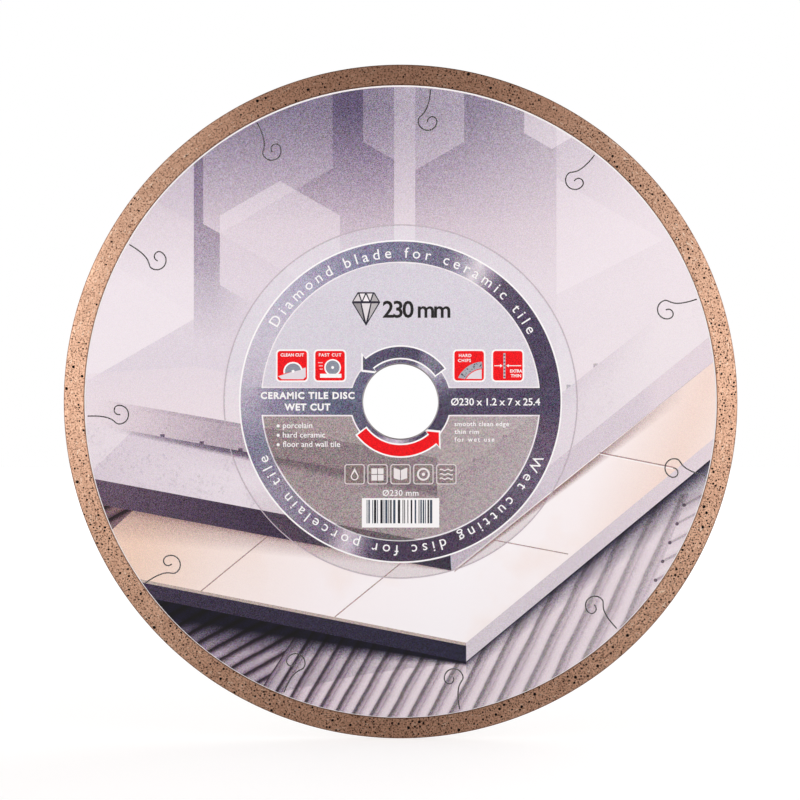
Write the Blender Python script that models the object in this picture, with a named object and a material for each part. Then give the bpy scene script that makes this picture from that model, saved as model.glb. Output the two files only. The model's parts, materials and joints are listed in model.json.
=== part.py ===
"""A 230 mm continuous-rim diamond blade for ceramic tile, as its separate pieces.

The blade stands upright. Its arbor axis is Y, the printed front faces -Y, and the origin is the
centre of the bore at half the blade's thickness. All lengths are in metres.
"""

import math

import bmesh
import bpy

MM = 0.001

# Driving dimensions, as such a blade is sold: outer diameter x rim thickness x rim height x bore.
OUTER_DIAMETER = 230.0 * MM
RIM_THICKNESS = 1.2 * MM
RIM_HEIGHT = 7.0 * MM
BORE_DIAMETER = 25.4 * MM

# Steel core.
CORE_THICKNESS = 0.9 * MM
BORE_CHAMFER = 0.1 * MM

# Joint between core and rim: a thin tongue on the core sits in a groove inside the rim.
JOINT_GAP = 0.03 * MM
TONGUE_THICKNESS = 0.5 * MM
TONGUE_LENGTH = 1.5 * MM

# Rim.
RIM_CHAMFER = 0.12 * MM

# Printed coat on the core's front, and the clear label over it.
COAT_MARGIN = 0.4 * MM
COAT_THICKNESS = 0.04 * MM
COAT_BORE_RADIUS = 13.3 * MM
LABEL_RADIUS = 60.5 * MM
LABEL_THICKNESS = 0.08 * MM
LABEL_BORE_RADIUS = 13.1 * MM
SKIN_GAP = 0.01 * MM

# Scroll slots: a tail runs in from the rim and curls into a hook.
SLOT_COUNT = 11
SLOT_FIRST_ANGLE = math.radians(84.5)
SLOT_KERF = 0.35 * MM
SLOT_MOUTH_RADIUS = 107.0 * MM
HOOK_CENTRE_RADIUS = 96.2 * MM
HOOK_RADIUS = 3.2 * MM
CURL_RADIUS = 1.6 * MM
TAIL_PULL = 10.0 * MM
HOOK_PULL = 2.3 * MM
CURL_SWEEP = math.radians(195.0)

# Facets.
ROUND_SEGMENTS = 144
TAIL_SEGMENTS = 7
HOOK_SEGMENTS = 8
CURL_SEGMENTS = 6

CORE_RADIUS = OUTER_DIAMETER / 2 - RIM_HEIGHT
CORE_FRONT = -CORE_THICKNESS / 2
COAT_BACK = CORE_FRONT - SKIN_GAP
COAT_FRONT = COAT_BACK - COAT_THICKNESS
LABEL_BACK = COAT_FRONT - SKIN_GAP
LABEL_FRONT = LABEL_BACK - LABEL_THICKNESS


def clear_scene():
    for obj in list(bpy.data.objects):
        bpy.data.objects.remove(obj, do_unlink=True)


def principled(name, colour, roughness, metallic):
    """A material with one Principled BSDF; colour is linear RGB."""
    material = bpy.data.materials.new(name)
    material.use_nodes = True
    shader = material.node_tree.nodes["Principled BSDF"]
    shader.inputs["Base Color"].default_value = (*colour, 1.0)
    shader.inputs["Roughness"].default_value = roughness
    shader.inputs["Metallic"].default_value = metallic
    return material


def circle(radius, y):
    """Points round the arbor axis, counter-clockwise as seen from the front."""
    step = 2 * math.pi / ROUND_SEGMENTS
    return [
        (radius * math.cos(i * step), y, radius * math.sin(i * step))
        for i in range(ROUND_SEGMENTS)
    ]


def rings_of(bm, profile):
    """One ring of vertices for each (radius, y) point of a profile."""
    return [[bm.verts.new(p) for p in circle(radius, y)] for radius, y in profile]


def wall(bm, rings):
    """Quads between each ring of vertices and the next."""
    for near, far in zip(rings, rings[1:]):
        for i in range(len(near)):
            j = (i + 1) % len(near)
            bm.faces.new((near[i], near[j], far[j], far[i]))


def lid(bm, loops):
    """Fills the flat region that the first loop bounds, less the loops inside it."""
    edges = []
    for loop in loops:
        for a, b in zip(loop, loop[1:] + loop[:1]):
            edges.append(bm.edges.get((a, b)) or bm.edges.new((a, b)))
    bmesh.ops.triangle_fill(bm, edges=edges, use_beauty=True)


def finish(bm, name, material):
    """Turns the bmesh into a smooth-shaded object with its faces pointing out."""
    bmesh.ops.recalc_face_normals(bm, faces=bm.faces)
    mesh = bpy.data.meshes.new(name)
    bm.to_mesh(mesh)
    bm.free()
    mesh.materials.append(material)
    mesh.shade_smooth()
    mesh.set_sharp_from_angle(angle=math.radians(30))
    obj = bpy.data.objects.new(name, mesh)
    bpy.context.scene.collection.objects.link(obj)
    return obj


def turned_ring(name, profile, material):
    """Revolves a closed (radius, y) profile about the arbor axis."""
    bm = bmesh.new()
    rings = rings_of(bm, profile)
    wall(bm, rings + rings[:1])
    return finish(bm, name, material)


def pierced_disc(name, inner_edge, outer_edge, outlines, material):
    """A disc with holes. Each edge is a (radius, y) profile from front to back, and each outline
    is a closed hole in the (x, z) plane."""
    bm = bmesh.new()
    front = outer_edge[0][1]
    back = outer_edge[-1][1]
    inner = rings_of(bm, inner_edge)
    outer = rings_of(bm, outer_edge)
    holes = [
        [[bm.verts.new((x, y, z)) for x, z in outline] for y in (front, back)]
        for outline in outlines
    ]
    for rings in [inner, outer] + holes:
        wall(bm, rings)
    lid(bm, [outer[0], inner[0]] + [hole[0] for hole in holes])
    lid(bm, [outer[-1], inner[-1]] + [hole[-1] for hole in holes])
    return finish(bm, name, material)


def bezier(p0, p1, p2, p3, t):
    """A point on a cubic Bezier curve in the plane."""
    s = 1 - t
    weights = (s**3, 3 * s * s * t, 3 * s * t * t, t**3)
    return tuple(sum(w * p[axis] for w, p in zip(weights, (p0, p1, p2, p3))) for axis in (0, 1))


def slot_centreline():
    """The scroll as (sideways, outward) points: tail, then the hook's half circle, then its curl."""
    mouth = (0.0, SLOT_MOUTH_RADIUS)
    hook_start = (HOOK_RADIUS, HOOK_CENTRE_RADIUS)
    pull_in = (0.0, SLOT_MOUTH_RADIUS - TAIL_PULL)
    pull_out = (HOOK_RADIUS, HOOK_CENTRE_RADIUS + HOOK_PULL)
    points = [
        bezier(mouth, pull_in, pull_out, hook_start, i / TAIL_SEGMENTS)
        for i in range(TAIL_SEGMENTS)
    ]
    for i in range(HOOK_SEGMENTS):
        turn = math.pi * i / HOOK_SEGMENTS
        points.append((HOOK_RADIUS * math.cos(turn), HOOK_CENTRE_RADIUS - HOOK_RADIUS * math.sin(turn)))
    for i in range(CURL_SEGMENTS + 1):
        turn = math.pi - CURL_SWEEP * i / CURL_SEGMENTS
        points.append(
            (
                -HOOK_RADIUS + CURL_RADIUS + CURL_RADIUS * math.cos(turn),
                HOOK_CENTRE_RADIUS + CURL_RADIUS * math.sin(turn),
            )
        )
    return points


def ribbon_outline(points, width):
    """The closed outline of a ribbon of this width along the points."""
    left = []
    right = []
    for i, (u, v) in enumerate(points):
        before = points[max(i - 1, 0)]
        after = points[min(i + 1, len(points) - 1)]
        du = after[0] - before[0]
        dv = after[1] - before[1]
        length = math.hypot(du, dv)
        side_u = -dv / length * width / 2
        side_v = du / length * width / 2
        left.append((u + side_u, v + side_v))
        right.append((u - side_u, v - side_v))
    return left + right[::-1]


def slot_outlines():
    """Every slot's outline in (x, z), spaced evenly round the blade."""
    outline = ribbon_outline(slot_centreline(), SLOT_KERF)
    placed = []
    for k in range(SLOT_COUNT):
        angle = SLOT_FIRST_ANGLE + 2 * math.pi * k / SLOT_COUNT
        c = math.cos(angle)
        s = math.sin(angle)
        placed.append([(v * c - u * s, v * s + u * c) for u, v in outline])
    return placed


def steel_core(outlines):
    """The steel disc with its chamfered bore, scroll slots, and the tongue that carries the rim."""
    half = CORE_THICKNESS / 2
    tongue = TONGUE_THICKNESS / 2
    shoulder = CORE_RADIUS - JOINT_GAP
    tip = CORE_RADIUS + TONGUE_LENGTH
    bore = BORE_DIAMETER / 2
    bore_edge = [
        (bore + BORE_CHAMFER, -half),
        (bore, -half + BORE_CHAMFER),
        (bore, half - BORE_CHAMFER),
        (bore + BORE_CHAMFER, half),
    ]
    tongued_edge = [(shoulder, -half), (shoulder, -tongue), (tip, -tongue)]
    tongued_edge += [(radius, -y) for radius, y in reversed(tongued_edge)]
    steel = principled("ground_steel", (0.53, 0.53, 0.54), 0.32, 1.0)
    return pierced_disc("steel_core", bore_edge, tongued_edge, outlines, steel)


def diamond_rim():
    """The continuous sintered rim, grooved inside to take the core's tongue."""
    outer = OUTER_DIAMETER / 2
    half = RIM_THICKNESS / 2
    groove = TONGUE_THICKNESS / 2 + JOINT_GAP
    groove_floor = CORE_RADIUS + TONGUE_LENGTH + JOINT_GAP
    front_half = [
        (groove_floor, -groove),
        (CORE_RADIUS, -groove),
        (CORE_RADIUS, -half),
        (outer - RIM_CHAMFER, -half),
        (outer, -half + RIM_CHAMFER),
    ]
    profile = front_half + [(radius, -y) for radius, y in reversed(front_half)]
    bronze = principled("sintered_bronze", (0.36, 0.20, 0.13), 0.45, 0.8)
    return turned_ring("diamond_rim", profile, bronze)


def face_print(outlines):
    """The printed coat on the front of the core; the slots are cut through it too."""
    radius = CORE_RADIUS - COAT_MARGIN
    ink = principled("printed_coat", (0.56, 0.50, 0.56), 0.4, 0.0)
    return pierced_disc(
        "face_print",
        [(COAT_BORE_RADIUS, COAT_FRONT), (COAT_BORE_RADIUS, COAT_BACK)],
        [(radius, COAT_FRONT), (radius, COAT_BACK)],
        outlines,
        ink,
    )


def centre_label():
    """The printed clear-film label round the bore."""
    film = principled("label_film", (0.36, 0.36, 0.40), 0.25, 0.0)
    return pierced_disc(
        "centre_label",
        [(LABEL_BORE_RADIUS, LABEL_FRONT), (LABEL_BORE_RADIUS, LABEL_BACK)],
        [(LABEL_RADIUS, LABEL_FRONT), (LABEL_RADIUS, LABEL_BACK)],
        [],
        film,
    )


def main():
    clear_scene()
    outlines = slot_outlines()
    blade = bpy.data.objects.new("blade", None)
    bpy.context.scene.collection.objects.link(blade)
    for piece in (steel_core(outlines), diamond_rim(), face_print(outlines), centre_label()):
        piece.parent = blade


main()
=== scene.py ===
"""Looks of the 230 mm diamond blade: each visible piece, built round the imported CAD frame.

Artwork is drawn in millimetres in the blade's own plane, x to the right and z up, from the centre of
the bore. Depths are millimetres along Y, where minus is towards the printed front.
"""

import json
import math
import random

import bpy
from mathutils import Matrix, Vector
from mathutils.geometry import delaunay_2d_cdt


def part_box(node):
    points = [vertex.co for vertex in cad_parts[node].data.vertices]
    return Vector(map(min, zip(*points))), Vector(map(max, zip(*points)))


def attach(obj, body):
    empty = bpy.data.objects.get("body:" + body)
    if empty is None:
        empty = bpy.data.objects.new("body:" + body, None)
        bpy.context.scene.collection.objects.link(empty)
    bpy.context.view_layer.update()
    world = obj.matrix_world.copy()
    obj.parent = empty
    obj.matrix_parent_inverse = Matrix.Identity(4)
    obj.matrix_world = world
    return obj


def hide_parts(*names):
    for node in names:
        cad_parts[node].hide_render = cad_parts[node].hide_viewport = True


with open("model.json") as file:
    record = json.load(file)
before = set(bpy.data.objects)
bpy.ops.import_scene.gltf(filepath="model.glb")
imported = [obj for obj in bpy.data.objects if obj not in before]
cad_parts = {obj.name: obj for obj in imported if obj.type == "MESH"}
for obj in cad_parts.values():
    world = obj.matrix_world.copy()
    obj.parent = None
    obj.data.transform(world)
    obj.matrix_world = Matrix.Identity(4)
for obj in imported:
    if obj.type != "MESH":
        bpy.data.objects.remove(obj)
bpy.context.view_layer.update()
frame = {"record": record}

MM = 0.001

# Radii that the frame gives, and the rim height that such a blade is sold with.
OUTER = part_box("diamond_rim")[1][0] / MM
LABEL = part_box("centre_label")[1][0] / MM
BORE = next(m for m in frame["record"]["mounts"] if m["name"] == "arbor_bore")["dims"]["r_mm"]
RIM_HEIGHT = 7.0
CORE = OUTER - RIM_HEIGHT

# Depths that the frame gives.
RIM_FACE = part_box("diamond_rim")[0][1] / MM
CORE_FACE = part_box("steel_core")[0][1] / MM
COAT_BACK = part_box("face_print")[1][1] / MM
COAT_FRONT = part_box("face_print")[0][1] / MM
LABEL_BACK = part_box("centre_label")[1][1] / MM
LABEL_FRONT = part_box("centre_label")[0][1] / MM

# Thickness of a layer of ink, points round a circle, and the angle that is still shaded smooth.
INK = 0.006
ROUND = 360
SMOOTH_ANGLE = 35


# ---------------------------------------------------------------- plane geometry, in millimetres


def circle(radius, centre=(0.0, 0.0), count=ROUND):
    step = 2 * math.pi / count
    return [
        (centre[0] + radius * math.cos(i * step), centre[1] + radius * math.sin(i * step))
        for i in range(count)
    ]


def arc(radius, start, end, count, centre=(0.0, 0.0)):
    """Points from one angle to another, in degrees, both ends included."""
    points = []
    for i in range(count + 1):
        angle = math.radians(start + (end - start) * i / count)
        points.append((centre[0] + radius * math.cos(angle), centre[1] + radius * math.sin(angle)))
    return points


def rounded_square(side, radius):
    """A square with round corners, counter-clockwise."""
    reach = side / 2 - radius
    points = []
    for sx, sz, start in ((1, 1, 0), (-1, 1, 90), (-1, -1, 180), (1, -1, 270)):
        points += arc(radius, start, start + 90, 5, (sx * reach, sz * reach))
    return points


def box(x0, z0, x1, z1):
    return [(x0, z0), (x1, z0), (x1, z1), (x0, z1)]


def turned(points, degrees):
    c = math.cos(math.radians(degrees))
    s = math.sin(math.radians(degrees))
    return [(x * c - z * s, x * s + z * c) for x, z in points]


def signed_area(loop):
    return sum(a[0] * b[1] - b[0] * a[1] for a, b in zip(loop, loop[1:] + loop[:1])) / 2


def triangulate(loops, points=()):
    """Triangles of the plane, cut along every counter-clockwise loop. Gives the vertices, the
    triangles, the set of loops round each triangle, and each loop's own vertices in order."""
    vertices = []
    faces = []
    for loop in loops:
        faces.append(list(range(len(vertices), len(vertices) + len(loop))))
        vertices += [Vector(p) for p in loop]
    vertices += [Vector(p) for p in points]
    out = delaunay_2d_cdt(vertices, [], faces, 0, 1e-5, True)
    found = {}
    for new, olds in enumerate(out[3]):
        for old in olds:
            found[old] = new
    traced = [[found[i] for i in face] for face in faces]
    return [tuple(v) for v in out[0]], out[2], [set(o) for o in out[5]], traced


def ccw(loop):
    return loop if signed_area(loop) > 0 else loop[::-1]


def region(outer, holes=()):
    """The area inside one loop and outside others, as vertices and triangles."""
    vertices, triangles, held, _ = triangulate([ccw(loop) for loop in [outer] + list(holes)])
    return vertices, [t for t, loops in zip(triangles, held) if loops == {0}]


def joined(shapes):
    """Several (vertices, polygons) shapes as one."""
    vertices = []
    polygons = []
    for shape_vertices, shape_polygons in shapes:
        start = len(vertices)
        vertices += shape_vertices
        polygons += [[start + i for i in p] for p in shape_polygons]
    return vertices, polygons


# ---------------------------------------------------------------- scroll slots, as the core has them

SLOT_COUNT = 11
SLOT_FIRST = 84.5
SLOT_MOUTH = 107.0
HOOK_CENTRE = 96.2
HOOK = 3.2
CURL = 1.6
TAIL_PULL = 10.0
HOOK_PULL = 2.3
TAIL_STEPS = 18


def slot_centreline():
    """The scroll as (counter-clockwise, outward) points: tail, half circle, then its curl."""
    pulls = [(0.0, SLOT_MOUTH - TAIL_PULL), (HOOK, HOOK_CENTRE + HOOK_PULL)]
    ends = [(0.0, SLOT_MOUTH)] + pulls + [(HOOK, HOOK_CENTRE)]
    points = []
    for i in range(TAIL_STEPS):
        t = i / TAIL_STEPS
        weights = ((1 - t) ** 3, 3 * (1 - t) ** 2 * t, 3 * (1 - t) * t * t, t**3)
        points.append(tuple(sum(w * p[axis] for w, p in zip(weights, ends)) for axis in (0, 1)))
    points += arc(HOOK, 0, -180, 22, (0.0, HOOK_CENTRE))[:-1]
    points += arc(CURL, 180, -15, 16, (CURL - HOOK, HOOK_CENTRE))
    return points


def slot_outlines(width):
    """Every slot as a closed ribbon of this width."""
    line = slot_centreline()
    left = []
    right = []
    for i, (u, v) in enumerate(line):
        before = line[max(i - 1, 0)]
        after = line[min(i + 1, len(line) - 1)]
        du = after[0] - before[0]
        dv = after[1] - before[1]
        length = math.hypot(du, dv)
        left.append((u - dv / length * width / 2, v + du / length * width / 2))
        right.append((u + dv / length * width / 2, v - du / length * width / 2))
    ribbon = ccw([(-u, v) for u, v in left + right[::-1]])
    return [turned(ribbon, SLOT_FIRST - 90 + 360 * k / SLOT_COUNT) for k in range(SLOT_COUNT)]


# ---------------------------------------------------------------- meshes


def new_object(name, vertices, polygons, materials, smooth_angle=None):
    mesh = bpy.data.meshes.new(name)
    mesh.from_pydata([(x * MM, y * MM, z * MM) for x, y, z in vertices], [], polygons)
    for material in materials:
        mesh.materials.append(material)
    if smooth_angle is not None:
        mesh.shade_smooth()
        mesh.set_sharp_from_angle(angle=math.radians(smooth_angle))
    obj = bpy.data.objects.new(name, mesh)
    bpy.context.scene.collection.objects.link(obj)
    return obj


def fit_on(obj, node):
    """Makes an object stand for a CAD node: hangs it under the root body and hides the node."""
    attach(obj, "root")
    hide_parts(node)


def open_edges(polygons):
    """The directed edges that only one polygon has."""
    edges = set()
    for p in polygons:
        edges.update(zip(p, p[1:] + p[:1]))
    return [(a, b) for a, b in edges if (b, a) not in edges]


def closed_sheet(name, vertices, polygons, front, thickness, material, paint=None):
    """A thin closed body whose front lies at this depth. paint gives a linear colour for each
    corner of each front polygon, and the back and the walls take the same colours."""
    used = sorted({i for p in polygons for i in p})
    place = {old: new for new, old in enumerate(used)}
    count = len(used)
    fronts = [[place[i] for i in p] for p in polygons]
    backs = [[i + count for i in reversed(p)] for p in fronts]
    walls = [[b, a, a + count, b + count] for a, b in sorted(open_edges(fronts))]
    points = [(vertices[i][0], front, vertices[i][1]) for i in used]
    points += [(x, y + thickness, z) for x, y, z in points]
    obj = new_object(name, points, fronts + backs + walls, [material])
    if paint is None:
        return obj
    colours = obj.data.color_attributes.new(name="ink", type="FLOAT_COLOR", domain="CORNER")
    flat = []
    at_edge = {}
    for p, corners in zip(fronts, paint):
        for i, colour in zip(p, corners):
            flat += [*colour, 1.0]
            at_edge[i] = colour
    for p, corners in zip(fronts, paint):
        for colour in reversed(corners):
            flat += [*colour, 1.0]
    for p in walls:
        for i in p:
            flat += [*at_edge[i % count], 1.0]
    colours.data.foreach_set("color", flat)
    return obj


# ---------------------------------------------------------------- colour: sRGB numbers of 0 to 255


def linear(r, g, b):
    """The linear colour that a shader takes, from sRGB numbers of 0 to 255."""
    shares = (r / 255, g / 255, b / 255)
    return tuple(c / 12.92 if c <= 0.04045 else ((c + 0.055) / 1.055) ** 2.4 for c in shares)


def mix(a, b, share):
    return tuple(p + (q - p) * share for p, q in zip(a, b))


def clamp(value, low=0.0, high=1.0):
    return max(low, min(high, value))


def ramp(stops, at):
    """The numbers at a position, read off (position, number, number...) stops."""
    if at <= stops[0][0]:
        return stops[0][1:]
    for (p0, *n0), (p1, *n1) in zip(stops, stops[1:]):
        if at <= p1:
            return mix(n0, n1, (at - p0) / (p1 - p0))
    return stops[-1][1:]


# ---------------------------------------------------------------- shader nodes


class Nodes:
    """A short way to write the nodes of a material or of the world. shader is its last node."""

    def __init__(self, owner, shader="Principled BSDF"):
        owner.use_nodes = True
        self.owner = owner
        self.tree = owner.node_tree
        self.shader = self.tree.nodes[shader]

    def put(self, socket, value):
        """Links a socket to another, or sets it to a number, a vector or a colour."""
        if isinstance(value, bpy.types.NodeSocket):
            self.tree.links.new(value, socket)
        elif socket.type == "RGBA":
            socket.default_value = (*value, 1.0)
        else:
            socket.default_value = value

    def set(self, key, value):
        self.put(self.shader.inputs[key], value)

    def node(self, kind, **inputs):
        made = self.tree.nodes.new(kind)
        for key, value in inputs.items():
            self.put(made.inputs[key.replace("_", " ")], value)
        return made

    def math(self, operation, a, b=0.0, clamped=False):
        made = self.tree.nodes.new("ShaderNodeMath")
        made.operation = operation
        made.use_clamp = clamped
        self.put(made.inputs[0], a)
        self.put(made.inputs[1], b)
        return made.outputs[0]

    def vector(self, operation, a, b):
        made = self.tree.nodes.new("ShaderNodeVectorMath")
        made.operation = operation
        self.put(made.inputs[0], a)
        self.put(made.inputs["Scale"] if operation == "SCALE" else made.inputs[1], b)
        return made.outputs[0]

    def blend(self, share, a, b, kind="MIX"):
        made = self.tree.nodes.new("ShaderNodeMix")
        made.data_type = "RGBA"
        made.blend_type = kind
        made.clamp_factor = True
        self.put(made.inputs[0], share)
        self.put(made.inputs[6], a)
        self.put(made.inputs[7], b)
        return made.outputs[2]

    def camera_only(self, to_camera, to_others):
        """A number that is one thing for the picture itself and another for reflections and shade."""
        made = self.tree.nodes.new("ShaderNodeMix")
        self.put(made.inputs[0], self.node("ShaderNodeLightPath").outputs["Is Camera Ray"])
        self.put(made.inputs[2], to_others)
        self.put(made.inputs[3], to_camera)
        return made.outputs[0]

    def place(self, output="Object"):
        return self.node("ShaderNodeTexCoord").outputs[output]

    def split(self, vector=None):
        """The X, Y and Z outputs of a vector, or of the place on the object."""
        return self.node("ShaderNodeSeparateXYZ", Vector=vector or self.place()).outputs

    def noise(self, scale, detail=2.0, vector=None, output="Fac"):
        made = self.node("ShaderNodeTexNoise", Vector=vector or self.place(), Scale=scale, Detail=detail)
        return made.outputs[output]

    def range(self, value, low, high, to_low=0.0, to_high=1.0):
        made = self.node("ShaderNodeMapRange", Value=value, From_Min=low, From_Max=high)
        made.clamp = True
        self.put(made.inputs["To Min"], to_low)
        self.put(made.inputs["To Max"], to_high)
        return made.outputs["Result"]

    def attribute(self, name, output):
        made = self.tree.nodes.new("ShaderNodeAttribute")
        made.attribute_name = name
        return made.outputs[output]

    def bump(self, height, distance, strength=1.0):
        made = self.node("ShaderNodeBump", Height=height, Distance=distance, Strength=strength)
        self.set("Normal", made.outputs["Normal"])

    def uneven_gloss(self, roughness, scale, detail):
        """A roughness that wanders a little round its value."""
        cloud = self.noise(scale, detail)
        self.set("Roughness", self.range(cloud, 0.3, 0.7, roughness - 0.05, roughness + 0.07))

    def around(self, across, along):
        """A vector that changes fast across the radius and slowly round the axis, and the radius."""
        split = self.split()
        x = split["X"]
        z = split["Z"]
        radius = self.math("SQRT", self.math("ADD", self.math("MULTIPLY", x, x), self.math("MULTIPLY", z, z)))
        made = self.node(
            "ShaderNodeCombineXYZ",
            X=self.math("MULTIPLY", radius, across),
            Y=self.math("MULTIPLY", self.math("DIVIDE", x, radius), along),
            Z=self.math("MULTIPLY", self.math("DIVIDE", z, radius), along),
        )
        return made.outputs["Vector"], radius

    def turned_metal(self, anisotropic):
        """Stretches reflections across grinding lines that run round the axis."""
        tangent = self.node("ShaderNodeTangent")
        tangent.direction_type = "RADIAL"
        tangent.axis = "Y"
        self.set("Anisotropic", anisotropic)
        self.set("Anisotropic Rotation", 0.25)
        self.set("Tangent", tangent.outputs["Tangent"])


def surface(name, roughness, metallic=0.0, specular=0.5):
    """A new material with one Principled BSDF."""
    nodes = Nodes(bpy.data.materials.new(name))
    nodes.set("Roughness", roughness)
    nodes.set("Metallic", metallic)
    nodes.set("Specular IOR Level", specular)
    return nodes


# ---------------------------------------------------------------- inks


def grained(nodes, colour, amount):
    """Print grain: fine specks, slightly coloured, that show more the darker the ink is."""
    grey = nodes.math("SUBTRACT", nodes.noise(4600.0, 1.0), 0.5)
    hue = nodes.vector("SUBTRACT", nodes.noise(3900.0, 1.0, output="Color"), (0.5, 0.5, 0.5))
    specks = nodes.vector("ADD", nodes.vector("SCALE", hue, 0.7), grey)
    bright = nodes.node("ShaderNodeRGBToBW", Color=colour).outputs["Val"]
    dark = nodes.math("SUBTRACT", 1.0, bright, clamped=True)
    strength = nodes.math("MULTIPLY", nodes.math("MULTIPLY", dark, dark), 6.0 * amount)
    factor = nodes.vector("ADD", nodes.vector("SCALE", specks, strength), (1.0, 1.0, 1.0))
    return nodes.vector("MULTIPLY", colour, factor)


def ink_material(name, roughness, shape=None, grain=1.0):
    """Printed ink: the colour painted on the mesh, its grain, and a fine uneven gloss."""
    nodes = surface(name, roughness, specular=0.3)
    colour = nodes.attribute("ink", "Color")
    if shape:
        colour = shape(nodes, colour)
    nodes.set("Base Color", grained(nodes, colour, grain))
    nodes.uneven_gloss(roughness, 420.0, 3.0)
    nodes.bump(nodes.noise(2400.0, 1.0), 0.000004, 0.5)
    return nodes.owner


def plain_ink(name, colour, roughness, grain):
    """One solid ink with the print's own grain and gloss."""
    nodes = surface(name, roughness)
    cloudy = nodes.range(nodes.noise(240.0, 3.0), 0.35, 0.65, 0.0, 0.10)
    shaded = nodes.blend(cloudy, linear(*colour), linear(*mix(colour, (0, 0, 0), 0.25)))
    nodes.set("Base Color", grained(nodes, shaded, grain))
    nodes.uneven_gloss(roughness, 500.0, 2.0)
    return nodes.owner


def stone_shape(nodes, colour):
    """Fine dark veins and specks of a stone surface, in worn patches that thin out to the right."""
    specks = nodes.range(nodes.noise(1100.0, 6.0), 0.50, 0.70, 0.0, 0.36)
    worn = nodes.range(nodes.noise(120.0, 4.0), 0.42, 0.62)
    right = nodes.range(nodes.split()["X"], 0.0, 0.09, 1.0, 0.15)
    share = nodes.math("MULTIPLY", nodes.math("MULTIPLY", specks, worn), right)
    return nodes.blend(share, colour, linear(150, 138, 160))


def tile_shape(nodes, colour):
    """Soft beige clouds of a ceramic tile."""
    clouds = nodes.range(nodes.noise(34.0, 4.0), 0.50, 0.74, 0.0, 0.5)
    return nodes.blend(clouds, colour, linear(243, 223, 213), "DARKEN")


# Combed ridges across one step of their count: (place, shade) from one valley to the next.
LEFT_PROFILE = ((0.0, 62), (0.09, 70), (0.16, 190), (0.36, 250), (0.60, 246), (0.80, 178), (0.90, 104))
LEFT_PROFILE += ((1.0, 62),)
MIDDLE_PROFILE = ((0.0, 66), (0.11, 74), (0.19, 168), (0.30, 206), (0.37, 172), (0.44, 214), (0.56, 244))
MIDDLE_PROFILE += ((0.80, 254), (0.91, 232), (0.97, 108), (1.0, 66))
RIGHT_PROFILE = ((0.0, 112), (0.06, 124), (0.13, 232), (0.40, 252), (0.66, 240), (0.88, 236), (0.95, 150))
RIGHT_PROFILE += ((1.0, 112),)


def ridge_shape(count_ridges, profile):
    """Combed ridges: the profile repeats with each step of the value that count_ridges gives from
    x and z in millimetres. They fade to the right."""

    def shaped(nodes, colour):
        split = nodes.split()
        x = nodes.math("MULTIPLY", split["X"], 1 / MM)
        z = nodes.math("MULTIPLY", split["Z"], 1 / MM)
        wobble = nodes.math("SUBTRACT", nodes.noise(90.0, 2.0), 0.5)
        value = nodes.math("ADD", count_ridges(nodes, x, z), nodes.math("MULTIPLY", wobble, 0.16))
        shades = nodes.node("ShaderNodeValToRGB", Fac=nodes.math("FRACT", value))
        stops = shades.color_ramp.elements
        for stop, (position, shade) in zip(stops, (profile[0], profile[-1])):
            stop.position = position
            stop.color = (*linear(shade, shade * 0.89, shade), 1.0)
        for position, shade in profile[1:-1]:
            tint = 0.78 + 0.22 * shade / 255
            stops.new(position).color = (*linear(shade, shade * tint, shade), 1.0)
        fade = nodes.range(x, -40.0, 80.0, 1.0, 0.52)
        return nodes.blend(fade, colour, shades.outputs["Color"], "MULTIPLY")

    return shaped


def straight_ridges(degrees, pitch, offset=0.0):
    """Ridges that all run at one angle."""
    turn = math.radians(degrees)

    def count(nodes, x, z):
        rise = nodes.math("MULTIPLY", z, math.cos(turn) / pitch)
        run = nodes.math("MULTIPLY", x, math.sin(turn) / pitch)
        return nodes.math("ADD", nodes.math("SUBTRACT", rise, run), offset)

    return count


# Far point that the middle ridges fan out from, and the fan's count: how it grows with the turn
# from its first angle, how that growth slows, and how it changes with height.
FAN_CENTRE = (337.0, 567.0)
FAN_START = 60.5
FAN_GROWTH = 2.58
FAN_SLOWING = 0.062
FAN_HEIGHT = 0.0067
FAN_OFFSET = 1.2


def fanned_ridges(nodes, x, z):
    """Ridges that fan out downwards from a far point, wider apart to the right."""
    dx = nodes.math("SUBTRACT", FAN_CENTRE[0], x)
    dz = nodes.math("SUBTRACT", FAN_CENTRE[1], z)
    degrees = nodes.math("MULTIPLY", nodes.math("ARCTAN2", dz, dx), math.degrees(1.0))
    turn = nodes.math("SUBTRACT", degrees, FAN_START)
    growth = nodes.math("SUBTRACT", FAN_GROWTH, nodes.math("MULTIPLY", turn, FAN_SLOWING))
    lift = nodes.math("ADD", nodes.math("MULTIPLY", z, FAN_HEIGHT), FAN_OFFSET)
    return nodes.math("SUBTRACT", nodes.math("MULTIPLY", turn, growth), lift)


# ---------------------------------------------------------------- metals


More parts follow.
